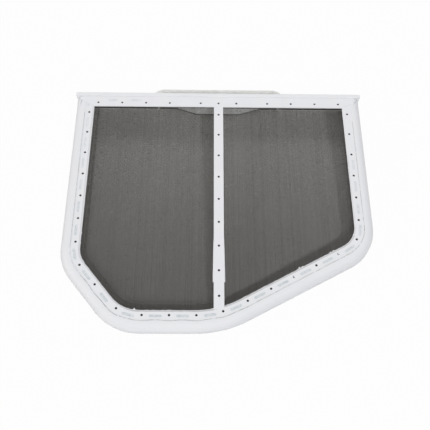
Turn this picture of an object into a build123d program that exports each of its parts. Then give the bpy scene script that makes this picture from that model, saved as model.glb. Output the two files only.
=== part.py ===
"""Tumble dryer lint filter: a moulded frame round a woven screen, with a snap-in handle.

The filter lies on its back, screen up, as it comes to rest. The plan is drawn on the face plane, whose
origin is the middle of the top row of pin marks: x to the right, y towards the handle, z out of the face.
The body is a wedge, deeper at the handle, so the face leans a little when the rear rim lies flat.
"""

import os
from math import atan2, cos, degrees, sin, tan

from build123d import *

# Plan, along the row of pin marks in the border
PIN_HALF_WIDTH = 140.2
PIN_LENGTH = 238.4
CORNER_CUT_START = 181.9
CORNER_CUT_FOOT = 93.2
SLOPE_FOOT = 0.5
SLOPE_END = 163.8
CORNER_CUT_RADIUS = 32.0
CORNER_FOOT_RADIUS = 40.0
SLOPE_FOOT_RADIUS = 95.0
SLOPE_END_RADIUS = 30.0

# Frame section: distances are measured outwards from the pin marks
WINDOW_MARGIN = 4.9
WINDOW_BEVEL = 1.8
BAND_MARGIN = 4.9
OUTER_MARGIN = 15.2
BAND_STEP = 0.4
WALL = 2.4
SHOULDER_RADIUS = 8.0
DEPTH_TOP = 25.0
DEPTH_BOTTOM = 9.5

# Centre bar and the two ribs under its edges
BAR_WIDTH = 10.0
BAR_RIB_WALL = 1.6
BAR_RIB_DEPTH = 5.0

# Top plate, which overhangs the face and both sides, with a taller rim on the face
TOP_EDGE = 12.8
TOP_PLATE = 3.2
PLATE_OVERHANG = 1.0
PLATE_RIM = 4.4
PLATE_EDGE_RADIUS = 0.9

# Small three-cornered dimples where the shoulder runs out under the plate
DIMPLE_WIDTH = 3.2
DIMPLE_LENGTH = 10.4
DIMPLE_PEAK = 2.7
DIMPLE_INSET = 3.7
DIMPLE_DROP = 4.6
DIMPLE_DEPTH = 2.0

# Pin marks, small enough that twelve sides read as round
PIN_DIAMETER = 2.4
PIN_SIDES = 12
PIN_PITCH = 25.4
PIN_FIRST = 12.7
PIN_COUNT_BEFORE_FOOT = 9
PIN_COUNT_AFTER_FOOT = 11
PIN_FOOT_STEP = 32.0
PIN_COUNT_RIGHT = 6
BAR_PIN_FIRST = 14.7
BAR_PIN_LAST = 18.9
BAR_PIN_COUNT = 9
TOP_PIN_INNER = 19.5
TOP_PIN_OUTER = 53.3
TOP_PIN_PITCH = 26.0
TOP_PIN_COUNT = 4

# Thin panels sunk into the border between the pin marks, over the cloth
PANEL_LENGTH = 12.0
PANEL_WIDTH = 2.6
PANEL_CHAMFER = 0.9
PANEL_DEPTH = 0.3
PANEL_OFFSET = 0.8
PANEL_COUNT = 23

# Screen cloth, moulded into the border, with slits that stand for its open weave
MESH_THICKNESS = 0.4
MESH_DEPTH = 0.8
MESH_MARGIN = 3.5
SLIT_WIDTH = 1.0
SLIT_PITCH = 2.16

# Finger pocket in the top plate
POCKET_MOUTH = 128.0
POCKET_FLOOR = 47.6
POCKET_DEPTH = 13.4
POCKET_FRONT = 4.5
POCKET_REAR = 21.0
POCKET_WALL = 1.8
POCKET_CORNER_RADIUS = 9.0

# Handle, with a finger lip, grip ribs and two snap hooks
GRIP_WIDTH = 146.7
GRIP_HEIGHT = 20.2
GRIP_THICKNESS = 3.0
GRIP_CORNER_RADIUS = 9.0
GRIP_GAP = 0.3
LIP_HEIGHT = 4.6
LIP_REACH = 1.6
LIP_EDGE_RADIUS = 0.7
GRIP_RIB_PITCH = 3.4
GRIP_RIB_WIDTH = 1.4
GRIP_RIB_HEIGHT = 2.0
GRIP_RIB_REACH = 0.4
HOOK_INSET = 5.8
HOOK_THICKNESS = 2.0
HOOK_DROP = 1.8
HOOK_BARB = 1.0
HOOK_BARB_HEIGHT = 1.0
HOOK_CLEARANCE = 0.2

# Places that follow from the sizes above
outer_half_width = PIN_HALF_WIDTH + OUTER_MARGIN
bottom_edge = -PIN_LENGTH - OUTER_MARGIN
plate_underside = TOP_EDGE - TOP_PLATE
body_height = TOP_EDGE - bottom_edge
lean = atan2(DEPTH_TOP - DEPTH_BOTTOM, body_height)
face_height = (DEPTH_BOTTOM - bottom_edge * tan(lean)) * cos(lean)
grip_front = POCKET_REAR + GRIP_GAP
grip_top = TOP_EDGE + GRIP_HEIGHT
pocket_floor_y = TOP_EDGE - POCKET_DEPTH
bar_pin_pitch = (PIN_LENGTH - BAR_PIN_FIRST - BAR_PIN_LAST) / (BAR_PIN_COUNT - 1)
lip_width = GRIP_WIDTH - 2 * GRIP_CORNER_RADIUS
grip_rib_count = int(lip_width // GRIP_RIB_PITCH)

# The face plane is set so that the origin is under the middle of the whole filter
handle_reach = grip_top * cos(lean) + (grip_front + GRIP_THICKNESS) * sin(lean)
shoulder_centre = bottom_edge + SHOULDER_RADIUS
foot_reach = shoulder_centre * cos(lean) + (SHOULDER_RADIUS - BAND_STEP) * sin(lean) - SHOULDER_RADIUS
face_y = -(handle_reach + foot_reach) / 2
face = Plane(origin=(0, face_y, face_height), x_dir=(1, 0, 0), z_dir=(0, -sin(lean), cos(lean)))
face_axis = Axis(face.origin, face.z_dir)

# Outline along the pin marks, from the top left corner round the foot to the top right corner
with BuildLine() as pin_line:
    FilletPolyline(
        (-PIN_HALF_WIDTH, 0),
        (-PIN_HALF_WIDTH, -CORNER_CUT_START),
        (-CORNER_CUT_FOOT, -PIN_LENGTH),
        (SLOPE_FOOT, -PIN_LENGTH),
        (PIN_HALF_WIDTH, -SLOPE_END),
        (PIN_HALF_WIDTH, 0),
        radius=[CORNER_CUT_RADIUS, CORNER_FOOT_RADIUS, SLOPE_FOOT_RADIUS, SLOPE_END_RADIUS],
    )

with BuildSketch() as pin_plan:
    with BuildLine():
        add(pin_line.line)
        Line((PIN_HALF_WIDTH, 0), (-PIN_HALF_WIDTH, 0))
    make_face()


def plan(margin):
    """Plan face bounded by the pin outline moved outwards by margin, with square top corners."""
    return offset(pin_plan.sketch, amount=margin, kind=Kind.INTERSECTION, mode=Mode.PRIVATE)


outline = pin_line.wires()[0]


def pin_stations():
    """Distance of every pin mark along the outline, from the top left corner to the top right one."""
    stations = [PIN_FIRST + PIN_PITCH * i for i in range(PIN_COUNT_BEFORE_FOOT)]
    after_foot = stations[-1] + PIN_FOOT_STEP
    stations += [after_foot + PIN_PITCH * i for i in range(PIN_COUNT_AFTER_FOOT)]
    stations += [outline.length - PIN_FIRST - PIN_PITCH * i for i in reversed(range(PIN_COUNT_RIGHT))]
    return stations


def pin_places():
    """Middle of every pin mark on the face: round the outline, along the top row and down the bar."""
    round_outline = [outline.position_at(s, position_mode=PositionMode.LENGTH) for s in pin_stations()]
    half_row = [TOP_PIN_INNER] + [TOP_PIN_OUTER + TOP_PIN_PITCH * i for i in range(TOP_PIN_COUNT)]
    top_row = [(0, 0)] + [(side * x, 0) for side in (-1, 1) for x in half_row]
    bar_row = [(0, -BAR_PIN_FIRST - bar_pin_pitch * i) for i in range(BAR_PIN_COUNT)]
    return [(p.X, p.Y) for p in round_outline] + top_row + bar_row


def panel_places():
    """Place and turn of each thin panel: midway between two pin marks and a little outside their row."""
    stations = pin_stations()
    places = []
    for i in range(PANEL_COUNT):
        middle = (stations[i] + stations[i + 1]) / 2
        point = outline.position_at(middle, position_mode=PositionMode.LENGTH)
        along = outline.tangent_at(middle, position_mode=PositionMode.LENGTH)
        outwards = along.cross(Vector(0, 0, 1))
        place = point + outwards * PANEL_OFFSET
        turn = degrees(atan2(along.Y, along.X))
        places.append(Location((place.X, place.Y), turn))
    return places


# Both windows: the plan inside the border, less the centre bar
with BuildSketch() as windows:
    add(plan(-WINDOW_MARGIN))
    Rectangle(BAR_WIDTH, 4 * PIN_LENGTH, mode=Mode.SUBTRACT)

# The same windows on the face, wider by the bevel along the sides and the foot
with BuildSketch() as bevel_mouths:
    add(plan(WINDOW_BEVEL - WINDOW_MARGIN))
    with Locations((0, -WINDOW_MARGIN)):
        bevel_side = 4 * PIN_LENGTH
        Rectangle(bevel_side, bevel_side, align=(Align.CENTER, Align.MAX), mode=Mode.INTERSECT)
    Rectangle(BAR_WIDTH, 4 * PIN_LENGTH, mode=Mode.SUBTRACT)

# Sunk band that carries the pin marks: it runs out in a mitre at each end of the top bar
with BuildSketch() as band:
    add(plan(BAND_MARGIN))
    with BuildLine():
        Polyline(
            (-PIN_HALF_WIDTH - BAND_MARGIN, 0),
            (WINDOW_MARGIN - PIN_HALF_WIDTH, -WINDOW_MARGIN),
            (PIN_HALF_WIDTH - WINDOW_MARGIN, -WINDOW_MARGIN),
            (PIN_HALF_WIDTH + BAND_MARGIN, 0),
            (PIN_HALF_WIDTH + BAND_MARGIN, BAND_MARGIN),
            (-PIN_HALF_WIDTH - BAND_MARGIN, BAND_MARGIN),
            close=True,
        )
    make_face(mode=Mode.SUBTRACT)


def pocket_plan(top):
    """Pocket outline on the face, up to the level top: wide at the mouth and narrow at the floor."""
    spread = (POCKET_MOUTH - POCKET_FLOOR) / 2 / POCKET_DEPTH
    half_top = POCKET_FLOOR / 2 + spread * (top - pocket_floor_y)
    with BuildSketch() as outline:
        with BuildLine():
            FilletPolyline(
                (-half_top, top),
                (-POCKET_FLOOR / 2, pocket_floor_y),
                (POCKET_FLOOR / 2, pocket_floor_y),
                (half_top, top),
                radius=POCKET_CORNER_RADIUS,
            )
            Line((half_top, top), (-half_top, top))
        make_face()
    return outline.sketch


pocket_outside = pocket_plan(TOP_EDGE)
pocket_hollow = offset(pocket_plan(TOP_EDGE + 2 * POCKET_WALL), amount=-POCKET_WALL, mode=Mode.PRIVATE)

# Hooks: their places on the top plate, measured along it and back from the face
hook_x = GRIP_WIDTH / 2 - HOOK_INSET
hook_places = [(side * hook_x, grip_front + GRIP_THICKNESS / 2) for side in (-1, 1)]
top_plane = Plane(origin=face.from_local_coords((0, TOP_EDGE, 0)), x_dir=(1, 0, 0), z_dir=face.y_dir)

# Frame
with BuildPart() as frame:
    # Wedge body with the rounded shoulder, cut flat at the rear rim and hollowed from behind
    with BuildSketch(face.offset(BAND_STEP)):
        add(plan(OUTER_MARGIN))
        with Locations((0, plate_underside)):
            body_side = 4 * outer_half_width
            Rectangle(body_side, body_side, align=(Align.CENTER, Align.MAX), mode=Mode.INTERSECT)
    extrude(amount=-2 * DEPTH_TOP)
    face_edges = frame.faces().sort_by(face_axis)[-1].edges()
    fillet(face_edges.sort_by(Axis.Y)[:-1], radius=SHOULDER_RADIUS)
    split(bisect_by=Plane.XY, keep=Keep.TOP)
    rear_opening = frame.faces().sort_by(Axis.Z)[0]
    top_opening = frame.faces().sort_by(Axis.Y)[-1]
    offset(amount=-WALL, openings=[rear_opening, top_opening])

    # Ribs under the edges of the centre bar
    rib_foot = bottom_edge + SHOULDER_RADIUS
    with BuildSketch(face.offset(BAND_STEP - WALL)):
        with Locations((0, rib_foot)):
            Rectangle(BAR_WIDTH, plate_underside - rib_foot, align=(Align.CENTER, Align.MIN))
            Rectangle(
                BAR_WIDTH - 2 * BAR_RIB_WALL,
                plate_underside - rib_foot,
                align=(Align.CENTER, Align.MIN),
                mode=Mode.SUBTRACT,
            )
    extrude(amount=-BAR_RIB_DEPTH)

    # Windows, and the sunk band round them
    with BuildSketch(face.offset(BAND_STEP)):
        add(windows.sketch)
    extrude(amount=-2 * WALL, mode=Mode.SUBTRACT)
    with BuildSketch(face.offset(BAND_STEP)):
        add(band.sketch)
    extrude(amount=-BAND_STEP, mode=Mode.SUBTRACT)
    for mouth, window in zip(bevel_mouths.faces().sort_by(Axis.X), windows.faces().sort_by(Axis.X)):
        with BuildSketch(face):
            add(mouth)
        with BuildSketch(face.offset(-MESH_DEPTH)):
            add(window)
        loft(ruled=True, mode=Mode.SUBTRACT)

    # Thin panels between the pin marks
    with BuildSketch(face) as panels:
        with Locations(*panel_places()):
            Rectangle(PANEL_LENGTH, PANEL_WIDTH)
        chamfer(panels.vertices(), length=PANEL_CHAMFER)
    extrude(amount=-PANEL_DEPTH, mode=Mode.SUBTRACT)

    # Dimples at both ends of the top bar
    dimple_x = outer_half_width - DIMPLE_INSET
    dimple_y = plate_underside - DIMPLE_DROP
    with BuildSketch(face.offset(BAND_STEP)):
        with BuildLine():
            Polyline(
                (dimple_x, dimple_y),
                (dimple_x - DIMPLE_WIDTH, dimple_y - DIMPLE_PEAK),
                (dimple_x, dimple_y - DIMPLE_LENGTH),
                close=True,
            )
        make_face()
        mirror(about=Plane.YZ)
    extrude(amount=-DIMPLE_DEPTH, mode=Mode.SUBTRACT)

    # Top plate, closing the body and overhanging its face and sides, and its rim on the face
    plate_front = face.offset(BAND_STEP + PLATE_OVERHANG)
    plate_width = 2 * (outer_half_width + PLATE_OVERHANG)
    with BuildSketch(plate_front):
        with Locations((0, TOP_EDGE)):
            Rectangle(plate_width, TOP_PLATE, align=(Align.CENTER, Align.MAX))
    extrude(amount=-2 * DEPTH_TOP)
    with BuildSketch(plate_front):
        with Locations((0, TOP_EDGE)):
            Rectangle(plate_width, PLATE_RIM, align=(Align.CENTER, Align.MAX))
    extrude(amount=-PLATE_OVERHANG - BAND_STEP)
    fillet(frame.faces().sort_by(face_axis)[-1].edges(), radius=PLATE_EDGE_RADIUS)

    # Finger pocket hanging from the top plate
    with BuildSketch(face.offset(-POCKET_FRONT)):
        add(pocket_outside)
    extrude(amount=POCKET_FRONT - POCKET_REAR)
    with BuildSketch(face.offset(-POCKET_FRONT - POCKET_WALL)):
        add(pocket_hollow)
    extrude(amount=POCKET_FRONT - POCKET_REAR + 2 * POCKET_WALL, mode=Mode.SUBTRACT)

    # Slots for the hooks of the handle
    with BuildSketch(top_plane):
        with Locations(*hook_places):
            Rectangle(HOOK_THICKNESS + 2 * HOOK_CLEARANCE, GRIP_THICKNESS + 2 * HOOK_CLEARANCE)
    extrude(amount=-TOP_PLATE, mode=Mode.SUBTRACT)

    # Room for the edge of the screen, and the pin marks that reach down to it
    with BuildSketch(face.offset(-MESH_DEPTH)):
        add(plan(MESH_MARGIN))
    extrude(amount=-MESH_THICKNESS, mode=Mode.SUBTRACT)
    with BuildSketch(face.offset(BAND_STEP)):
        with Locations(*pin_places()):
            RegularPolygon(PIN_DIAMETER / 2, PIN_SIDES)
    extrude(amount=-BAND_STEP - MESH_DEPTH, mode=Mode.SUBTRACT)

    # Rear rim of the top plate, level with the rest of the rim
    split(bisect_by=Plane.XY, keep=Keep.TOP)

frame.part.label = "frame"

# Screen cloth
with BuildPart() as lint_mesh:
    with BuildSketch(face.offset(-MESH_DEPTH)):
        add(plan(MESH_MARGIN))
    extrude(amount=-MESH_THICKNESS)
    window_width = PIN_HALF_WIDTH - WINDOW_MARGIN - BAR_WIDTH / 2
    slit_count = int(window_width // SLIT_PITCH)
    slit_middle = (BAR_WIDTH + window_width) / 2
    with BuildSketch(face.offset(-MESH_DEPTH)):
        for side in (-1, 1):
            with Locations((side * slit_middle, -PIN_LENGTH / 2)):
                with GridLocations(SLIT_PITCH, 0, slit_count, 1):
                    Rectangle(SLIT_WIDTH, 2 * PIN_LENGTH)
        add(windows.sketch, mode=Mode.INTERSECT)
    extrude(amount=-MESH_THICKNESS, mode=Mode.SUBTRACT)

lint_mesh.part.label = "lint_mesh"

# Handle
with BuildPart() as handle:
    # Upright grip plate with rounded upper corners
    grip_plane = face.offset(-grip_front)
    with BuildSketch(grip_plane) as grip_outline:
        with Locations((0, TOP_EDGE)):
            Rectangle(GRIP_WIDTH, GRIP_HEIGHT, align=(Align.CENTER, Align.MIN))
        fillet(grip_outline.vertices().sort_by(Axis.Y)[-2:], radius=GRIP_CORNER_RADIUS)
    extrude(amount=-GRIP_THICKNESS)

    # Finger lip along its upper edge, with a row of fine grip ribs
    with BuildSketch(grip_plane):
        with Locations((0, grip_top)):
            Rectangle(lip_width, LIP_HEIGHT, align=(Align.CENTER, Align.MAX))
    extrude(amount=LIP_REACH)
    fillet(handle.faces().sort_by(face_axis)[-1].edges(), radius=LIP_EDGE_RADIUS)
    with BuildSketch(grip_plane.offset(LIP_REACH)):
        with Locations((0, grip_top - LIP_HEIGHT / 2)):
            with GridLocations(GRIP_RIB_PITCH, 0, grip_rib_count, 1):
                Rectangle(GRIP_RIB_WIDTH, GRIP_RIB_HEIGHT)
    extrude(amount=GRIP_RIB_REACH)

    # Snap hooks: a leg through the top plate and a barb under it, pointing outwards
    with BuildSketch(top_plane):
        with Locations(*hook_places):
            Rectangle(HOOK_THICKNESS, GRIP_THICKNESS)
    extrude(amount=-TOP_PLATE - HOOK_DROP)
    with BuildSketch(top_plane.offset(-TOP_PLATE)):
        for x, back in hook_places:
            outwards = 1 if x > 0 else -1
            with Locations((x + outwards * (HOOK_THICKNESS + HOOK_BARB) / 2, back)):
                Rectangle(HOOK_BARB, GRIP_THICKNESS)
    extrude(amount=-HOOK_BARB_HEIGHT)

handle.part.label = "handle"

os.makedirs("parts", exist_ok=True)
export_step(frame.part, "parts/frame.step")
export_step(lint_mesh.part, "parts/lint_mesh.step")
export_step(handle.part, "parts/handle.step")
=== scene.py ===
"""Looks of the tumble dryer lint filter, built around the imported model.

Sizes are in millimetres unless a name ends in _M or _m. Face coordinates are those of the moulded face: x to
the right, v towards the handle and w out of the face, from the middle of the top row of pin marks.
"""

from math import atan2, cos, radians, sin

import bpy
import numpy as np
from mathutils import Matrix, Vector


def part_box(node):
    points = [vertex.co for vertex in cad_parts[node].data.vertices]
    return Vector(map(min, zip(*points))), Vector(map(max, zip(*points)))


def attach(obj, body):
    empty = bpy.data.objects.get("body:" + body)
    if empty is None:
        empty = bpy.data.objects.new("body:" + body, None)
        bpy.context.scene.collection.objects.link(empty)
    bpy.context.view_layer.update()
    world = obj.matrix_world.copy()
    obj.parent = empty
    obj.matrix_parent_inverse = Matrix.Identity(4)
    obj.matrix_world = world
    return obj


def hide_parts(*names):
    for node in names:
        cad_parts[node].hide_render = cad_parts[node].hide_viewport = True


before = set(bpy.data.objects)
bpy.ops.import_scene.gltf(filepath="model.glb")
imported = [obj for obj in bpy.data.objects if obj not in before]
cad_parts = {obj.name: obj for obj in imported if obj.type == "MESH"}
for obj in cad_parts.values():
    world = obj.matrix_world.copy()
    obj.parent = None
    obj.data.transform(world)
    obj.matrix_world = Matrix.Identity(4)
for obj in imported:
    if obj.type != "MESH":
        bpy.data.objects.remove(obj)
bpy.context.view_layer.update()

MM = 0.001
rng = np.random.default_rng(7)

# Sizes shared with the solids
DEPTH_TOP = 25.0
DEPTH_FOOT = 9.5
BODY_HEIGHT = 266.4
PIN_HALF_WIDTH = 140.2
PIN_LENGTH = 238.4
CORNER_CUT_START = 181.9
CORNER_CUT_FOOT = 93.2
SLOPE_FOOT = 0.5
SLOPE_END = 163.8
OUTLINE_CORNERS = [
    (-PIN_HALF_WIDTH, 0.0),
    (-PIN_HALF_WIDTH, -CORNER_CUT_START),
    (-CORNER_CUT_FOOT, -PIN_LENGTH),
    (SLOPE_FOOT, -PIN_LENGTH),
    (PIN_HALF_WIDTH, -SLOPE_END),
    (PIN_HALF_WIDTH, 0.0),
]
OUTLINE_RADII = [32.0, 40.0, 95.0, 30.0]
WINDOW_MARGIN = 4.9
BAND_MARGIN = 4.9
BAND_STEP = 0.4
WALL_MIDDLE_MARGIN = 14.0
PLATE_UNDERSIDE = 9.6
BAR_HALF_WIDTH = 5.0
PANEL_DEPTH = 0.3
CLOTH_DEPTH = 0.8
CLOTH_THICKNESS = 0.4
CLOTH_MARGIN = 3.5
POCKET_HALF_WIDTH = 64.0
POCKET_FRONT = 4.5
POCKET_REAR = 21.0

# Pin marks: along the outline, in the top row and down the bar
PIN_DIAMETER = 2.4
PIN_PITCH = 25.4
PIN_FIRST = 12.7
LEFT_PIN_COUNT = 9
FOOT_PIN_FIRST = 247.9
FOOT_PIN_COUNT = 11
RIGHT_PIN_COUNT = 6
TOP_PIN_INNER = 19.5
TOP_PIN_OUTER = 53.3
TOP_PIN_PITCH = 26.0
TOP_PIN_COUNT = 4
BAR_PIN_FIRST = 14.7
BAR_PIN_LAST = 18.9
BAR_PIN_COUNT = 9

# Cloth pushed up into the pin marks; its near-black colour is the cloth's dark deepened with painted shade
DOME_TOP = -0.05
DOME_DROP = 0.3
DOME_STEPS = 5

# Weave of the screen
THREAD_PITCH = 0.82
THREAD_WIDTH = 0.30
THREAD_LEAN_DEG = 45.0
WEAVE_HEIGHT = 0.10
WARP_SPREAD = 0.22
WEFT_SPREAD = 0.03
STREAK_THREADS = 2
WARP_STREAKS = 0.6
WEFT_STREAKS = 0.1
LEAN_RUN = 2
LEAN_CHANCE = 0.04
WANDER = 0.03
WANDER_WAVES = 8
WANDER_LENGTHS = (4.0, 14.0)
PRESSED_BAND = 6.0
PRESSED_WIDER = 1.55
OUTLINE_STEPS = 2000

# Closed edge of the cloth: how far it shows under the top row, where it is a dark strip of painted shade
# below the top bar, its narrow stretch and its two gaps
RIM_STEPS = 400
RIM_TUCK = 0.6
RIM_SHADE_SHOWN_AT_TOP = 1.9
RIM_SHOWN_AT_POCKET = 0.6
RIM_STEP_INNER = 43.0
RIM_STEP_OUTER = 47.0
RIM_GAP_INNER = 63.7
RIM_GAP_OUTER = 66.5
RIM_GAP_SLANT = 0.4
RIM_HEIGHT = -1.12

# Cut thread ends along the edge of the sunk band: first and last station, end width and wave of each run
THREAD_END_RUNS = [
    (14.0, 200.0, 0.11, 0.0),
    (200.0, 372.0, 0.40, 0.42),
    (372.0, 520.0, 0.32, 0.1),
    (520.0, 640.0, 0.08, 0.0),
]
THREAD_END_PITCH = 1.3
THREAD_END_LENGTH = 0.9
THREAD_END_HALF_SHARES = (0.3, 0.7)
THREAD_END_RISE = 0.05
THREAD_END_SHARE = 0.94

# Line of painted shade where the lip beside the windows ends in a shallow groove: first and last station and
# width of each run
LIP_LINE_RUNS = [
    (14.0, 185.0, 0.10),
    (255.0, 345.0, 0.22),
    (352.0, 505.0, 0.18),
]
LIP_LINE_MARGIN = -3.5
LIP_LINE_RISE = 0.02

# Faint marks where the cloth shows through the white, the last one a painted shade mark at the top right
# corner beside the plate's end: middle and half sizes on the face
SMUDGES_AND_CORNER_SHADE = [
    ((-115.5, 3.0), (10.0, 3.4)),
    ((-90.5, 3.0), (11.0, 3.2)),
    ((-142.0, -3.3), (1.8, 3.2)),
    # Painted shade beside the right end of the top plate, outside the cloth
    ((149.6, 0.8), (1.8, 4.0)),
]
SMUDGE_SHARE = 0.9
SMUDGE_CORE = 0.3

# How the panels, and the pocket's painted highlight and painted shade line, are told apart in the white
# moulding: depths, places and cosines of slant
PANEL_DEPTH_ENDS = (0.12, 0.04)
PANEL_FADE_START = -40.0
PANEL_SHOWN = (0.55, 1.5)
LEVEL_COSINES = (0.97, 0.99)
FOOT_COSINES = (0.1, 0.3)
POCKET_SIDE_BLEND = 4.0
POCKET_FRONT_BLEND = 1.0
POCKET_TOP_ENDS = (-12.0, -9.0)
POCKET_SHADE_LINE_ENDS = (1.9, 1.3)

# Flash: a thin ragged film of plastic at the edges of the windows
FLASH_STEP = 0.4
FLASH_TEETH = 0.55
FLASH_TEETH_STEPS = 2
FLASH_FIRST = 150.0
FLASH_LAST = 600.0
TUFT_STATIONS = (265.2, 435.2, 438.5, 470.5, 474.0)
TUFT_HALF_LENGTH = 1.5
TUFT_WIDTH = 2.7
TUFT_RAGGED = 0.6
FILM_ROOT = 0.5
FILM_LIP_SHARE = 0.75
FILM_HEIGHTS = (-0.08, -0.2, -0.5)
BAR_FLASH_SPAN = (-206.0, -160.0)
BAR_FLASH_WIDTH = 1.0
BAR_FLASH_RAGGED = 0.2

# Films left in two pin marks of the slope: the pin's station and where the film starts from it
PIN_FILMS = [(425.7, -0.2), (476.5, -0.5)]
PIN_FILM_END = 1.3
PIN_FILM_HALF_WIDTH = 0.7
PIN_FILM_HEIGHT = -0.02

# Camera, found from the pin marks of the photograph
CAMERA_PLACE = (-12.3, -318.62, 552.62)
CAMERA_TURN_DEG = (28.628, -0.887, -0.036)
PHOTO_SIDE_PX = 430
FOCAL_LENGTH_PX = 610
SENSOR = 36.0
CLIP_RANGE_M = (0.01, 50.0)

# Floor, and the patch of it behind the screen, grey with painted shade towards the foot and a warm tint
FLOOR_HALF = 4000.0
FLOOR_HEIGHT_M = -0.0002
PATCH_HEIGHT_M = -0.0001
PATCH_STEPS = 60
PATCH_TINT = (1.0, 0.985, 0.96)

# The face plane follows from the cloth's own box and the lean of the wedge
lean = atan2(DEPTH_TOP - DEPTH_FOOT, BODY_HEIGHT)
cloth_top_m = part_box("lint_mesh")[1]
face_y = cloth_top_m.y / MM - CLOTH_MARGIN * cos(lean) - (CLOTH_DEPTH + CLOTH_THICKNESS) * sin(lean)
face_z = cloth_top_m.z / MM - CLOTH_MARGIN * sin(lean) + CLOTH_DEPTH * cos(lean)


def on_face(x, v, w):
    """Points in metres for face coordinates: v and w are turned about the x axis by the lean, then moved."""
    x, v, w = np.broadcast_arrays(x, v, w)
    y = face_y + v * cos(lean) - w * sin(lean)
    z = face_z + v * sin(lean) + w * cos(lean)
    return np.stack([x, y, z], axis=-1) * MM


def mesh_object(name, points, faces, material, values=None):
    """Mesh object of the points that faces use; values maps attribute names to one number per point."""
    used, numbers = np.unique(faces, return_inverse=True)
    count, corners = faces.shape
    mesh = bpy.data.meshes.new(name)
    mesh.vertices.add(len(used))
    mesh.vertices.foreach_set("co", points[used].astype(np.float32).ravel())
    mesh.loops.add(count * corners)
    mesh.loops.foreach_set("vertex_index", numbers.ravel().astype(np.int32))
    mesh.polygons.add(count)
    mesh.polygons.foreach_set("loop_start", np.arange(0, count * corners, corners, dtype=np.int32))
    for attribute, amounts in (values or {}).items():
        layer = mesh.attributes.new(attribute, "FLOAT", "POINT")
        layer.data.foreach_set("value", amounts[used].astype(np.float32))
    mesh.update(calc_edges=True)
    mesh.materials.append(material)
    made = bpy.data.objects.new(name, mesh)
    bpy.context.scene.collection.objects.link(made)
    return made


def strip_faces(rows, columns):
    """Quads between neighbouring points of a grid numbered row by row."""
    number = np.arange(rows * columns).reshape(rows, columns)
    corners = [number[:-1, :-1], number[:-1, 1:], number[1:, 1:], number[1:, :-1]]
    return np.stack(corners, axis=-1).reshape(-1, 4)


# Outline along the pin marks


def outline_parts():
    """Runs and corner arcs of the rounded outline, from the top left corner round the foot to the top right.

    Each is its length, the start of a run or the centre of an arc, the heading or (radius, first angle).
    A corner of radius r that turns by an angle a starts r tan(a/2) before its point.
    """
    corners = np.array(OUTLINE_CORNERS)
    sides = np.diff(corners, axis=0)
    headings = sides / np.linalg.norm(sides, axis=1, keepdims=True)
    parts = []
    start = corners[0]
    for radius, corner, before, after in zip(OUTLINE_RADII, corners[1:], headings, headings[1:]):
        turn = atan2(before[0] * after[1] - before[1] * after[0], before @ after)
        cut = radius * np.tan(turn / 2)
        arc_start = corner - before * cut
        to_centre = np.array([-before[1], before[0]])
        first_angle = atan2(-to_centre[1], -to_centre[0])
        parts.append((np.linalg.norm(arc_start - start), start, before))
        parts.append((radius * turn, arc_start + to_centre * radius, (radius, first_angle)))
        start = corner + after * cut
    parts.append((np.linalg.norm(corners[-1] - start), start, headings[-1]))
    return parts


OUTLINE = outline_parts()
OUTLINE_LENGTH = sum(length for length, _, _ in OUTLINE)


def along_outline(stations, margin):
    """Points (x, v) at distances along the outline, each moved outwards by margin."""
    stations, margin = np.broadcast_arrays(np.asarray(stations, float), np.asarray(margin, float))
    points = np.zeros(stations.shape + (2,))
    begin = 0.0
    for length, place, course in OUTLINE:
        here = (stations >= begin) & (stations <= begin + length)
        t = (stations[here] - begin)[:, None]
        out = margin[here][:, None]
        if isinstance(course, tuple):
            radius, first_angle = course
            angle = first_angle + t / radius
            points[here] = place + (radius + out) * np.concatenate([np.cos(angle), np.sin(angle)], axis=1)
        else:
            points[here] = place + t * course + out * np.array([course[1], -course[0]])
        begin += length
    return points


# Materials


def new_material(name):
    """Node material with a Principled shader, returned with its nodes, links and shader."""
    material = bpy.data.materials.new(name)
    material.use_nodes = True
    nodes = material.node_tree.nodes
    return material, nodes, material.node_tree.links, nodes["Principled BSDF"]


def product(nodes, links, first, second):
    """Product of two values."""
    node = nodes.new("ShaderNodeMath")
    node.operation = "MULTIPLY"
    links.new(first, node.inputs[0])
    links.new(second, node.inputs[1])
    return node.outputs[0]


def smooth_step(nodes, links, value, low, high, start=0.0, end=1.0):
    """Smooth step of value from start at low to end at high."""
    node = nodes.new("ShaderNodeMapRange")
    node.interpolation_type = "SMOOTHSTEP"
    links.new(value, node.inputs["Value"])
    node.inputs["From Min"].default_value = low
    node.inputs["From Max"].default_value = high
    node.inputs["To Min"].default_value = start
    node.inputs["To Max"].default_value = end
    return node.outputs["Result"]


def noise(nodes, links, vector, scale, detail=3.0, roughness=0.5):
    """Noise value, 0 to 1, with scale in features per unit of vector."""
    node = nodes.new("ShaderNodeTexNoise")
    links.new(vector, node.inputs["Vector"])
    node.inputs["Scale"].default_value = scale
    node.inputs["Detail"].default_value = detail
    node.inputs["Roughness"].default_value = roughness
    return node.outputs["Fac"]


def mix_colour(nodes, links, share, first, second):
    """Colour between first and second; each is a colour or a socket."""
    node = nodes.new("ShaderNodeMix")
    node.data_type = "RGBA"
    links.new(share, node.inputs["Factor"])
    for socket, colour in ((node.inputs[6], first), (node.inputs[7], second)):
        if isinstance(colour, tuple):
            socket.default_value = (*colour, 1.0)
        else:
            links.new(colour, socket)
    return node.outputs[2]


def face_coordinates(nodes, links):
    """Object coordinates turned into face coordinates in millimetres: the vector, and its parts v and w."""
    place = nodes.new("ShaderNodeTexCoord")
    turn = nodes.new("ShaderNodeMapping")
    turn.vector_type = "TEXTURE"
    turn.inputs["Location"].default_value = (0.0, face_y * MM, face_z * MM)
    turn.inputs["Rotation"].default_value = (lean, 0.0, 0.0)
    turn.inputs["Scale"].default_value = (MM, MM, MM)
    links.new(place.outputs["Object"], turn.inputs["Vector"])
    split = nodes.new("ShaderNodeSeparateXYZ")
    links.new(turn.outputs["Vector"], split.inputs["Vector"])
    return turn.outputs["Vector"], split.outputs["Y"], split.outputs["Z"]


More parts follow.
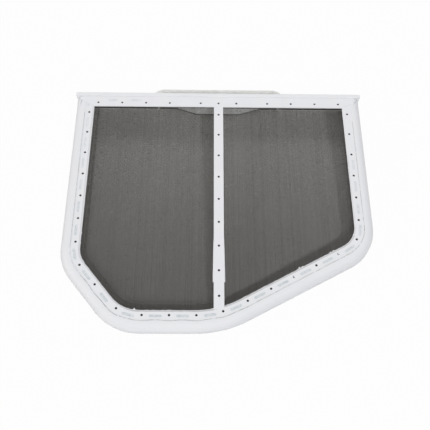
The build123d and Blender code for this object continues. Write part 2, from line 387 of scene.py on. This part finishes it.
def facing(nodes, links, direction):
    """Cosine between the way the surface faces and a direction."""
    surface = nodes.new("ShaderNodeNewGeometry")
    node = nodes.new("ShaderNodeVectorMath")
    node.operation = "DOT_PRODUCT"
    links.new(surface.outputs["True Normal"], node.inputs[0])
    node.inputs[1].default_value = direction
    return node.outputs["Value"]


def add_bump(nodes, links, shader, height, distance, strength):
    """Bump of a height value on the shader's normal."""
    bump = nodes.new("ShaderNodeBump")
    bump.inputs["Strength"].default_value = strength
    bump.inputs["Distance"].default_value = distance * MM
    links.new(height, bump.inputs["Height"])
    links.new(bump.outputs["Normal"], shader.inputs["Normal"])


def smudge(nodes, links, face, middle, half_sizes):
    """Soft spot on the face: 1 at its middle, falling to 0 at an ellipse of those half sizes."""
    place = nodes.new("ShaderNodeMapping")
    place.vector_type = "TEXTURE"
    place.inputs["Location"].default_value = (*middle, 0.0)
    place.inputs["Scale"].default_value = (*half_sizes, 1.0)
    links.new(face, place.inputs["Vector"])
    reach = nodes.new("ShaderNodeVectorMath")
    reach.operation = "LENGTH"
    links.new(place.outputs["Vector"], reach.inputs[0])
    return smooth_step(nodes, links, reach.outputs["Value"], 1.0, SMUDGE_CORE)


def distance_across(nodes, links, face):
    """How far a place on the face lies from the middle of the filter, to either side."""
    split = nodes.new("ShaderNodeSeparateXYZ")
    links.new(face, split.inputs["Vector"])
    size = nodes.new("ShaderNodeMath")
    size.operation = "ABSOLUTE"
    links.new(split.outputs["X"], size.inputs[0])
    return size.outputs["Value"]


def largest(nodes, links, values):
    """The largest of several values."""
    result = values[0]
    for value in values[1:]:
        node = nodes.new("ShaderNodeMath")
        node.operation = "MAXIMUM"
        links.new(result, node.inputs[0])
        links.new(value, node.inputs[1])
        result = node.outputs[0]
    return result


def cloth_and_shade_showing(nodes, links, face, v, w):
    """How much of the grey cloth shows through the white, with one painted shade mark, in patches on level
    faces.

    It shows in the sunk panels, found by their depth under the face, more so towards the foot, and in a few
    smudges; the smudge at the top right corner is painted shade.
    """
    far, near = PANEL_DEPTH_ENDS
    under_rim = smooth_step(nodes, links, w, -PANEL_DEPTH + far, -PANEL_DEPTH + near)
    above_cloth = smooth_step(nodes, links, w, -PANEL_DEPTH - far, -PANEL_DEPTH - near)
    level = smooth_step(nodes, links, facing(nodes, links, (0.0, -sin(lean), cos(lean))), *LEVEL_COSINES)
    towards_foot = smooth_step(nodes, links, v, PANEL_FADE_START, -PIN_LENGTH, *PANEL_SHOWN)
    panel = product(nodes, links, product(nodes, links, under_rim, above_cloth), towards_foot)
    spots = [smudge(nodes, links, face, middle, half_sizes) for middle, half_sizes in SMUDGES_AND_CORNER_SHADE]
    spot = smooth_step(nodes, links, largest(nodes, links, spots), low=0.0, high=1.0, end=SMUDGE_SHARE)
    mottle = noise(nodes, links, face, scale=0.45)
    patches = smooth_step(nodes, links, mottle, low=0.3, high=0.7, start=0.25, end=0.75)
    return product(nodes, links, product(nodes, links, largest(nodes, links, [panel, spot]), level), patches)


def pocket_face(nodes, links, face, v, w):
    """1 on the side of the pocket that is seen through the cloth, where the painted highlight and shade line
    go, 0 elsewhere.
    """
    across = distance_across(nodes, links, face)
    beside = smooth_step(nodes, links, across, POCKET_HALF_WIDTH + POCKET_SIDE_BLEND, POCKET_HALF_WIDTH)
    behind = smooth_step(nodes, links, w, -POCKET_FRONT + POCKET_FRONT_BLEND, -POCKET_FRONT)
    outside = smooth_step(nodes, links, facing(nodes, links, (0.0, -cos(lean), -sin(lean))), *FOOT_COSINES)
    near_top = smooth_step(nodes, links, v, *POCKET_TOP_ENDS)
    pocket = product(nodes, links, beside, behind)
    for limit in (outside, near_top):
        pocket = product(nodes, links, pocket, limit)
    return pocket


def white_moulding():
    """White polypropylene: faint clouding, places where the grey cloth shows through, a painted shade mark at
    the top right corner, fine grain.

    The pocket behind the cloth gets a painted highlight, a white paler than the moulding, and a grey line of
    painted shade along its rear edge.
    """
    material, nodes, links, shader = new_material("white_moulding")
    face, v, w = face_coordinates(nodes, links)
    clouds = noise(nodes, links, face, scale=0.05, detail=4.0)
    # The grey of the cloth below also colours the painted shade mark at the top right corner.
    clear_white, dull_white, cloth_and_shade_grey = (0.795, 0.800, 0.822), (0.780, 0.788, 0.812), (0.56, 0.61, 0.64)
    clouded = smooth_step(nodes, links, clouds, low=0.35, high=0.7)
    plain = mix_colour(nodes, links, clouded, clear_white, dull_white)
    border = mix_colour(nodes, links, cloth_and_shade_showing(nodes, links, face, v, w), plain, cloth_and_shade_grey)

    # Painted light on the pocket: a white paler than the moulding, and a grey line of painted shade along its
    # rear edge.
    line_start, line_full = POCKET_SHADE_LINE_ENDS
    rear = smooth_step(nodes, links, w, -POCKET_REAR + line_start, -POCKET_REAR + line_full)
    pocket_painted_light, painted_shade_grey = (0.95, 0.96, 0.96), (0.16, 0.16, 0.15)
    pocket_painted_colour = mix_colour(nodes, links, rear, pocket_painted_light, painted_shade_grey)
    pocket = pocket_face(nodes, links, face, v, w)
    links.new(mix_colour(nodes, links, pocket, border, pocket_painted_colour), shader.inputs["Base Color"])

    grain = noise(nodes, links, face, scale=1.6, detail=4.0, roughness=0.6)
    roughness = smooth_step(nodes, links, grain, low=0.3, high=0.7, start=0.5, end=0.65)
    links.new(roughness, shader.inputs["Roughness"])
    shader.inputs["Specular IOR Level"].default_value = 0.35
    add_bump(nodes, links, shader, grain, distance=0.03, strength=0.25)
    return material


def lip_groove_painted_shade():
    """Painted shade of the shallow groove where the lip ends: greyer and a little pinker than the moulding,
    in patches.
    """
    material, nodes, links, shader = new_material("lip_groove_painted_shade")
    face, _, _ = face_coordinates(nodes, links)
    patches = smooth_step(nodes, links, noise(nodes, links, face, scale=0.3), low=0.35, high=0.65)
    pale_lip, dark_lip = (0.55, 0.52, 0.54), (0.38, 0.35, 0.37)
    mottled = mix_colour(nodes, links, patches, pale_lip, dark_lip)
    links.new(mottled, shader.inputs["Base Color"])
    shader.inputs["Roughness"].default_value = 0.5
    return material


def grey_moulding():
    """Pale warm grey plastic of the grip: mottling drawn out along the grip and a fine spark-eroded grain."""
    material, nodes, links, shader = new_material("grey_moulding")
    face, _, _ = face_coordinates(nodes, links)
    drawn_out = nodes.new("ShaderNodeMapping")
    drawn_out.inputs["Scale"].default_value = (0.25, 1.0, 1.0)
    links.new(face, drawn_out.inputs["Vector"])
    mottle = noise(nodes, links, drawn_out.outputs["Vector"], scale=0.6, detail=4.0)
    pale, dull = (0.83, 0.83, 0.81), (0.72, 0.72, 0.69)
    patches = smooth_step(nodes, links, mottle, low=0.35, high=0.65)
    mottled = mix_colour(nodes, links, patches, pale, dull)
    links.new(mottled, shader.inputs["Base Color"])
    grain = noise(nodes, links, face, scale=3.0, roughness=0.6)
    roughness = smooth_step(nodes, links, grain, low=0.3, high=0.7, start=0.45, end=0.6)
    links.new(roughness, shader.inputs["Roughness"])
    add_bump(nodes, links, shader, grain, distance=0.05, strength=0.35)
    return material


def woven_thread(name, dark, worn):
    """Monofilament with a slight sheen, between two colours by the shade that the mesh keeps."""
    material, nodes, links, shader = new_material(name)
    shade = nodes.new("ShaderNodeAttribute")
    shade.attribute_name = "thread_shade"
    links.new(mix_colour(nodes, links, shade.outputs["Fac"], dark, worn), shader.inputs["Base Color"])
    shader.inputs["Roughness"].default_value = 0.55
    shader.inputs["Specular IOR Level"].default_value = 0.3
    return material


# Screen cloth


def thread_shades(count):
    """One shade per thread, 0 to 1, evened out over a few neighbours so that threads group into streaks."""
    raw = rng.random(count + 2 * STREAK_THREADS)
    kernel = np.hanning(2 * STREAK_THREADS + 1)
    even = np.convolve(raw, kernel / kernel.sum(), mode="valid")
    return (even - even.min()) / (even.max() - even.min())


def crossing_shades(threads, shape, streaks):
    """Shade at each crossing: the thread's own for the share streaks, and chance for the rest."""
    return streaks * threads + (1.0 - streaks) * rng.random(shape)


def thread_places(span, spread):
    """Places of threads over a span: running sum of gaps of one pitch, each longer or shorter by chance."""
    gaps = 1.0 + spread * rng.uniform(-1.0, 1.0, int(span / THREAD_PITCH))
    return span * np.cumsum(gaps) / gaps.sum() - THREAD_PITCH / 2


def wander(x, v):
    """Small shift of the threads: a sum of plane waves of chance headings, lengths and phases."""
    shift = np.zeros(x.shape)
    for _ in range(WANDER_WAVES):
        heading, phase = 2 * np.pi * rng.random(2)
        along = (x * cos(heading) + v * sin(heading)) / rng.uniform(*WANDER_LENGTHS)
        shift += WANDER * np.sin(2 * np.pi * along + phase)
    return shift


def lean_sides(shape):
    """Side, 1 or -1, to which threads lean: by turns from thread to thread and from run to run along each.

    Places along a thread run down the first axis, threads along the second. A share of the runs, drawn by
    chance, leans the other way.
    """
    runs = np.add.outer(np.arange(shape[0] // LEAN_RUN + 1), np.arange(shape[1]))
    runs += rng.random(runs.shape) < LEAN_CHANCE
    return np.where(np.repeat(runs, LEAN_RUN, axis=0)[:shape[0]] % 2 == 0, 1.0, -1.0)


def inside_outline(x, v, margin):
    """Whether the places (x, v) lie on the handle's side of the outline moved outwards by margin."""
    edge = along_outline(np.linspace(0.0, OUTLINE_LENGTH, OUTLINE_STEPS), margin)
    return v > np.interp(x, edge[:, 0], edge[:, 1])


def weave_faces(inside):
    """Quads of the stretches between neighbouring crossings that both lie inside the cloth.

    Points are numbered by crossing, four times over: both edges of the warps, then both of the wefts.
    """
    number = np.arange(inside.size).reshape(inside.shape)
    warp_here = inside[:, :-1] & inside[:, 1:]
    first, second = number[:, :-1][warp_here], number[:, 1:][warp_here]
    warp_faces = np.stack([second, second + inside.size, first + inside.size, first], axis=-1)
    weft_here = inside[:-1] & inside[1:]
    first, second = number[:-1][weft_here] + 2 * inside.size, number[1:][weft_here] + 2 * inside.size
    weft_faces = np.stack([first, second, second + inside.size, first + inside.size], axis=-1)
    return np.concatenate([warp_faces, weft_faces])


def woven_half(name, side, material):
    """Plain weave over the left or right half of the cloth: warp i and weft j cross at (x_i, v_j).

    The warp's height there is the weave height times (-1)^(i+j), and the weft's is the opposite. Each stretch
    between two crossings that lie inside the cloth is a ribbon of four points. Ribbons lean to one side or
    the other by turns, as a round thread shows both of its sides, and each thread twists after each run.
    Along the side, the cut and the foot of the left window the mould has pressed the threads wider.
    """
    across = side * thread_places(PIN_HALF_WIDTH + CLOTH_MARGIN, WARP_SPREAD)
    down = CLOTH_MARGIN - thread_places(PIN_LENGTH + 2 * CLOTH_MARGIN, WEFT_SPREAD)
    x, v = np.meshgrid(across, down, indexing="ij")
    inside = inside_outline(x, v, CLOTH_MARGIN)
    pressed = inside_outline(x, v, -WINDOW_MARGIN) & ~inside_outline(x, v, -WINDOW_MARGIN - PRESSED_BAND)
    pressed &= x < -BAR_HALF_WIDTH
    v = v + wander(x, v)

    order = np.add.outer(np.arange(len(across)), np.arange(len(down)))
    rise = WEAVE_HEIGHT * np.where(order % 2 == 0, 1.0, -1.0)
    middle = -CLOTH_DEPTH - CLOTH_THICKNESS / 2
    flat_half = THREAD_WIDTH / 2 * cos(radians(THREAD_LEAN_DEG)) * np.where(pressed, PRESSED_WIDER, 1.0)
    lean_half = THREAD_WIDTH / 2 * sin(radians(THREAD_LEAN_DEG))
    warp_lean = lean_half * lean_sides(x.T.shape).T
    weft_lean = lean_half * lean_sides(x.shape)
    warp = [on_face(x + end * flat_half, v, middle + rise + end * warp_lean) for end in (-1, 1)]
    weft = [on_face(x, v + end * flat_half, middle - rise + end * weft_lean) for end in (-1, 1)]
    points = np.stack(warp + weft).reshape(-1, 3)
    warp_shade = crossing_shades(thread_shades(len(across))[:, None], x.shape, WARP_STREAKS)
    weft_shade = crossing_shades(thread_shades(len(down))[None, :], x.shape, WEFT_STREAKS)
    shades = np.stack([warp_shade, warp_shade, weft_shade, weft_shade]).ravel()

    cloth = mesh_object(name, points, weave_faces(inside), material, {"thread_shade": shades})
    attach(cloth, "root")
    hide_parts("lint_mesh")
    return cloth


def two_edge_strip(first, second, w):
    """Points of a flat strip between two rows of (x, v) points at the height w, with its faces."""
    flat = np.stack([first, second], axis=1).reshape(-1, 2)
    return on_face(flat[:, 0], flat[:, 1], w), strip_faces(len(first), 2)


def join(strips):
    """Points and faces of several strips in one numbering."""
    starts = np.cumsum([0] + [len(points) for points, _ in strips[:-1]])
    points = np.concatenate([points for points, _ in strips])
    faces = np.concatenate([faces + start for (_, faces), start in zip(strips, starts)])
    return points, faces


def pin_places():
    """Middles (x, v) of all the pin marks."""
    left = PIN_FIRST + PIN_PITCH * np.arange(LEFT_PIN_COUNT)
    foot = FOOT_PIN_FIRST + PIN_PITCH * np.arange(FOOT_PIN_COUNT)
    right = OUTLINE_LENGTH - PIN_FIRST - PIN_PITCH * np.arange(RIGHT_PIN_COUNT)
    outer = TOP_PIN_OUTER + TOP_PIN_PITCH * np.arange(TOP_PIN_COUNT)
    top = np.concatenate([[0.0, TOP_PIN_INNER, -TOP_PIN_INNER], outer, -outer])
    down = np.linspace(-BAR_PIN_FIRST, BAR_PIN_LAST - PIN_LENGTH, BAR_PIN_COUNT)
    rows = [along_outline(np.concatenate([left, foot, right]), 0.0)]
    rows += [np.column_stack([top, 0 * top]), np.column_stack([0 * down, down])]
    return np.concatenate(rows)


def pin_domes():
    """Cloth in the pin marks: a grid (a, b) from -1 to 1 bent to a disc, falling with the radius squared.

    The disc's place is (a sqrt(1 - b b / 2), b sqrt(1 - a a / 2)) times the pin's radius.
    """
    steps = np.linspace(-1.0, 1.0, DOME_STEPS)
    a, b = np.meshgrid(steps, steps, indexing="ij")
    disc = np.stack([a * np.sqrt(1 - b * b / 2), b * np.sqrt(1 - a * a / 2)], axis=-1).reshape(-1, 2)
    height = DOME_TOP - DOME_DROP * (disc ** 2).sum(axis=1)
    middles = pin_places()
    flat = middles[:, None] + PIN_DIAMETER / 2 * disc
    points = on_face(flat[..., 0], flat[..., 1], height).reshape(-1, 3)
    starts = np.arange(len(middles))[:, None, None] * len(disc)
    faces = strip_faces(DOME_STEPS, DOME_STEPS)[:, ::-1]
    return points, (starts + faces).reshape(-1, 4)


def screen_rim(material):
    """Edge of the cloth, pressed closed inside the border and the bar: it is seen in the pin marks.

    Flat strips along the outline, along the top row and down the bar, a little under the woven threads, with
    a dome in each pin mark. The domes are near black, the cloth's dark deepened with painted shade. The strip
    along the top row reaches below the top bar as a line of painted shade and is the palest. It is narrower
    in front of the pocket, with a gap in front of each snap hook.
    """
    stations = np.linspace(0.0, OUTLINE_LENGTH, RIM_STEPS)
    inner, outer = RIM_TUCK - WINDOW_MARGIN, CLOTH_MARGIN
    side, bar, foot = PIN_HALF_WIDTH + CLOTH_MARGIN, BAR_HALF_WIDTH - RIM_TUCK, -PIN_LENGTH
    gap_ends = [RIM_GAP_INNER, RIM_GAP_INNER + RIM_GAP_SLANT, RIM_GAP_OUTER - RIM_GAP_SLANT, RIM_GAP_OUTER]
    half_places = [RIM_STEP_INNER, RIM_STEP_OUTER, *gap_ends, side]
    shade_at_top, at_pocket, at_gap = RIM_SHADE_SHOWN_AT_TOP, RIM_SHOWN_AT_POCKET, 0.0
    half_shown = [at_pocket, shade_at_top, shade_at_top, at_gap, at_gap, shade_at_top, shade_at_top]
    across = np.concatenate([-np.flip(half_places), half_places])
    low = -WINDOW_MARGIN - np.concatenate([np.flip(half_shown), half_shown])
    top_edges = [np.column_stack([across, edge + 0 * across]) for edge in (low, outer)]
    bar_edges = np.array([[(-bar, foot), (-bar, inner)], [(bar, foot), (bar, inner)]])
    border = two_edge_strip(along_outline(stations, inner), along_outline(stations, outer), RIM_HEIGHT)
    top = two_edge_strip(*top_edges, RIM_HEIGHT)
    middle = two_edge_strip(*bar_edges, RIM_HEIGHT)
    strips = [border, top, middle, pin_domes()]
    points, faces = join(strips)
    # Shade 1 gives the top strip the worn colour, a line of painted shade below the top bar; the rest keep
    # the near-black dark.
    dark, pale = 0.0, 1.0
    shades = np.repeat([dark, pale, dark, dark], [len(places) for places, _ in strips])
    rim = mesh_object("screen_rim", points, faces, material, {"thread_shade": shades})
    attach(rim, "root")
    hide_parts("lint_mesh")
    return rim


def ragged(count):
    """Ragged edge, 0 to 1: random steps, evened over a few neighbours, with the lower half cut off."""
    raw = rng.random(count + 2 * FLASH_TEETH_STEPS)
    span = 2 * FLASH_TEETH_STEPS + 1
    even = np.convolve(raw, np.ones(span) / span, mode="valid")
    return np.clip((even - even.mean()) / (even.max() - even.mean()), 0.0, 1.0)


def film(root, edge):
    """Strip from root points to ragged edge points, high at the root and down on the cloth at the edge."""
    lip = root + FILM_LIP_SHARE * (edge - root)
    flat = np.stack([root, lip, edge], axis=1)
    points = on_face(flat[..., 0], flat[..., 1], np.array(FILM_HEIGHTS))
    return points.reshape(-1, 3), strip_faces(len(root), 3)


def edge_flash(material):
    """Flash along the foot of both windows and on both sides of the bar: ragged films of varying width.

    The width is teeth of chance plus, on the slope, a cosine bump at each tuft, and on the bar one long bump
    that ends in a step. Two pin marks keep a flat film over a part of them.
    """
    stations = np.arange(FLASH_FIRST, FLASH_LAST, FLASH_STEP)
    teeth = ragged(len(stations))
    width = FLASH_TEETH * teeth
    for tuft in TUFT_STATIONS:
        near = np.clip(np.abs(stations - tuft) / TUFT_HALF_LENGTH, 0.0, 1.0)
        width = width + TUFT_WIDTH * (1.0 - TUFT_RAGGED * (1.0 - teeth)) * (1.0 + np.cos(np.pi * near)) / 2
    root = along_outline(stations, FILM_ROOT - WINDOW_MARGIN)
    strips = [film(root, along_outline(stations, -WINDOW_MARGIN - width))]
    foot_end, top_end = BAR_FLASH_SPAN
    for side in (-1, 1):
        v = np.arange(foot_end, top_end, FLASH_STEP)
        rise = (v - top_end) / (foot_end - top_end)
        reach = BAR_FLASH_WIDTH * np.sqrt(rise) * (1.0 - BAR_FLASH_RAGGED * ragged(len(v)))
        edge = np.column_stack([side * (BAR_HALF_WIDTH + reach), v])
        root = np.column_stack([np.full(len(v), side * (BAR_HALF_WIDTH - FILM_ROOT)), v])
        strips.append(film(root, edge))
    for pin, start in PIN_FILMS:
        ends = np.array([pin + start, pin + PIN_FILM_END])
        sides = [along_outline(ends, margin) for margin in (PIN_FILM_HALF_WIDTH, -PIN_FILM_HALF_WIDTH)]
        strips.append(two_edge_strip(*sides, PIN_FILM_HEIGHT))
    points, faces = join(strips)
    flash = mesh_object("flash", points, faces, material)
    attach(flash, "root")
    return flash


def thread_ends(material):
    """Cut ends of the cloth's threads along the edge of the sunk band: small blocks, some of them missing.

    In each run the row swings out by the run's wave at every pin mark of the foot, and in between them. A
    block stands on the band or on the shoulder, which is a step higher.
    """
    rows = []
    for first, last, width, wave in THREAD_END_RUNS:
        stations = np.arange(first, last, THREAD_END_PITCH)
        stations = stations[rng.random(len(stations)) < THREAD_END_SHARE]
        outer = BAND_MARGIN + width + wave * np.cos(2 * np.pi * (stations - FOOT_PIN_FIRST) / PIN_PITCH)
        half_lengths = THREAD_END_LENGTH * rng.uniform(*THREAD_END_HALF_SHARES, len(stations))
        rows.append(np.stack([stations, half_lengths, outer, np.full(len(stations), width)]))
    stations, half_lengths, outer, width = np.concatenate(rows, axis=1)
    ground = np.where(outer > BAND_MARGIN, BAND_STEP, 0.0)
    corners = []
    for height in (0.0, ground + THREAD_END_RISE):
        for along, inwards in ((-1, 0), (1, 0), (1, 1), (-1, 1)):
            flat = along_outline(stations + along * half_lengths, outer - inwards * width)
            corners.append(on_face(flat[:, 0], flat[:, 1], height))
    points = np.stack(corners, axis=1).reshape(-1, 3)
    block = np.array([(4, 5, 6, 7), (0, 1, 5, 4), (1, 2, 6, 5), (2, 3, 7, 6), (3, 0, 4, 7)])
    faces = (np.arange(len(stations))[:, None, None] * len(corners) + block).reshape(-1, 4)
    ends = mesh_object("thread_ends", points, faces, material, {"thread_shade": rng.random(len(points))})
    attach(ends, "root")
    return ends


def painted_lip_groove(material):
    """Thin line of painted shade on the border where the lip beside the windows ends in a groove: a flat
    strip a hair above the face.
    """
    strips = []
    for first, last, width in LIP_LINE_RUNS:
        stations = np.arange(first, last, FLASH_STEP)
        outer = along_outline(stations, LIP_LINE_MARGIN + width)
        strips.append(two_edge_strip(outer, along_outline(stations, LIP_LINE_MARGIN), LIP_LINE_RISE))
    points, faces = join(strips)
    line = mesh_object("painted_lip_groove", points, faces, material)
    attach(line, "root")
    return line


# Stage: floor, light and camera


def seen(nodes, links):
    """1 for what the camera sees directly, in gloss or through something clear, else 0."""
    path = nodes.new("ShaderNodeLightPath")
    rays = ("Is Camera Ray", "Is Glossy Ray", "Is Transmission Ray")
    return largest(nodes, links, [path.outputs[ray] for ray in rays])


def floor_piece(name, points, height_m, material):
    """Flat piece of floor through points (x, y), at a height."""
    flat = np.column_stack([points * MM, np.full(len(points), height_m)])
    floor = mesh_object(name, flat, np.arange(len(points))[None, :], material)
    return floor


def patch_outline():
    """Outline (x, y) of the hollow behind the screen, carried down to the floor square to the face."""
    edge = along_outline(np.linspace(0.0, OUTLINE_LENGTH, PATCH_STEPS), WALL_MIDDLE_MARGIN)
    edge[[0, -1], 1] = PLATE_UNDERSIDE
    v = edge[:, 1]
    y = face_y + v * cos(lean) + (face_z + v * sin(lean)) * sin(lean)
    return np.column_stack([edge[:, 0], y])


def white_floor(grey, shown_white):
    """Pale floor; shown_white is how far what the camera sees of it is lifted to white."""
    material, nodes, links, shader = new_material("white_floor")
    shader.inputs["Base Color"].default_value = (grey, grey, grey, 1.0)
    shader.inputs["Roughness"].default_value = 0.9
    glow = nodes.new("ShaderNodeEmission")
    mix = nodes.new("ShaderNodeMixShader")
    shown = smooth_step(nodes, links, seen(nodes, links), low=0.0, high=1.0, end=shown_white)
    links.new(shown, mix.inputs["Fac"])
    links.new(shader.outputs["BSDF"], mix.inputs[1])
    links.new(glow.outputs["Emission"], mix.inputs[2])
    links.new(mix.outputs["Shader"], nodes["Material Output"].inputs["Surface"])
    return material


def floor_with_painted_shade(foot_grey, top_grey):
    """Floor under the screen: grey, with painted shade that darkens it towards the foot, where the filter
    lies nearer to it.
    """
    material, nodes, links, shader = new_material("floor_with_painted_shade")
    _, v, _ = face_coordinates(nodes, links)
    # Painted shade: the grey darkens from the top towards the foot.
    shade_fade_upwards = smooth_step(nodes, links, v, -PIN_LENGTH, 0.0)
    greys = [tuple(tint * grey for tint in PATCH_TINT) for grey in (foot_grey, top_grey)]
    links.new(mix_colour(nodes, links, shade_fade_upwards, *greys), shader.inputs["Base Color"])
    shader.inputs["Roughness"].default_value = 0.9
    return material


def soft_lamp(name, place_m, side_m, watts, colour):
    """Square area lamp at place, aimed at the filter."""
    lamp = bpy.data.lights.new(name, "AREA")
    lamp.energy = watts
    lamp.size = side_m
    lamp.color = colour
    made = bpy.data.objects.new(name, lamp)
    bpy.context.scene.collection.objects.link(made)
    made.location = place_m
    made.rotation_euler = Vector(place_m).to_track_quat("Z", "Y").to_euler()
    return made


def even_world(strength):
    """White surroundings: even light of that strength, plain white to the camera."""
    world = bpy.data.worlds.new("even_world")
    world.use_nodes = True
    nodes, links = world.node_tree.nodes, world.node_tree.links
    background = nodes["Background"]
    background.inputs["Color"].default_value = (1.0, 1.0, 1.0, 1.0)
    shown = smooth_step(nodes, links, seen(nodes, links), low=0.0, high=1.0, start=strength, end=1.0)
    links.new(shown, background.inputs["Strength"])
    bpy.context.scene.world = world


def photo_camera():
    """Camera at the photograph's place, with its focal length given in pixels of the photograph."""
    lens = bpy.data.cameras.new("photo_camera")
    lens.sensor_width = SENSOR
    lens.lens = SENSOR * FOCAL_LENGTH_PX / PHOTO_SIDE_PX
    lens.clip_start, lens.clip_end = CLIP_RANGE_M
    camera = bpy.data.objects.new("photo_camera", lens)
    bpy.context.scene.collection.objects.link(camera)
    camera.location = [size * MM for size in CAMERA_PLACE]
    camera.rotation_euler = [radians(turn) for turn in CAMERA_TURN_DEG]
    bpy.context.scene.camera = camera


# The filter
thread = woven_thread("dark_thread", dark=(0.0175, 0.016, 0.0138), worn=(0.0535, 0.048, 0.0405))
buried_thread = woven_thread("buried_thread", dark=(0.20, 0.24, 0.23), worn=(0.34, 0.39, 0.38))
moulding = white_moulding()
for node, material in (("frame", moulding), ("handle", grey_moulding())):
    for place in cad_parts[node].material_slots:
        place.material = material
woven_half("screen_left", -1, thread)
woven_half("screen_right", 1, thread)
# Its near-black dark is painted shade in the pin marks; its worn colour draws the painted shade line below
# the top bar.
pressed_thread_and_shade = woven_thread("pressed_thread_and_shade", dark=(0.004, 0.004, 0.004), worn=(0.045, 0.042, 0.036))
screen_rim(pressed_thread_and_shade)
thread_ends(buried_thread)
# The lip line is painted shade of a shallow groove.
painted_lip_groove(lip_groove_painted_shade())
edge_flash(moulding)

# The stage
photo_camera()
even_world(strength=0.2)
floor_corners = FLOOR_HALF * np.array([(-1, -1), (1, -1), (1, 1), (-1, 1)])
floor_piece("floor", floor_corners, FLOOR_HEIGHT_M, white_floor(grey=0.55, shown_white=0.97))
shaded = floor_with_painted_shade(foot_grey=0.315, top_grey=0.55)
floor_piece("floor_behind_screen", patch_outline(), PATCH_HEIGHT_M, shaded)
soft_lamp("left_lamp", (-3.5, -0.6, 1.4), side_m=1.0, watts=46.0, colour=(1.0, 0.975, 0.945))
soft_lamp("right_lamp", (1.86, -2.4, 3.0), side_m=0.6, watts=66.0, colour=(0.985, 0.99, 1.0))
soft_lamp("front_lamp", (-0.15, -2.85, 2.25), side_m=0.5, watts=36.0, colour=(1.0, 1.0, 1.0))
soft_lamp("back_lamp", (0.0, 2.7, 2.1), side_m=1.2, watts=42.0, colour=(1.0, 1.0, 1.0))
bpy.context.scene.view_settings.view_transform = "Standard"
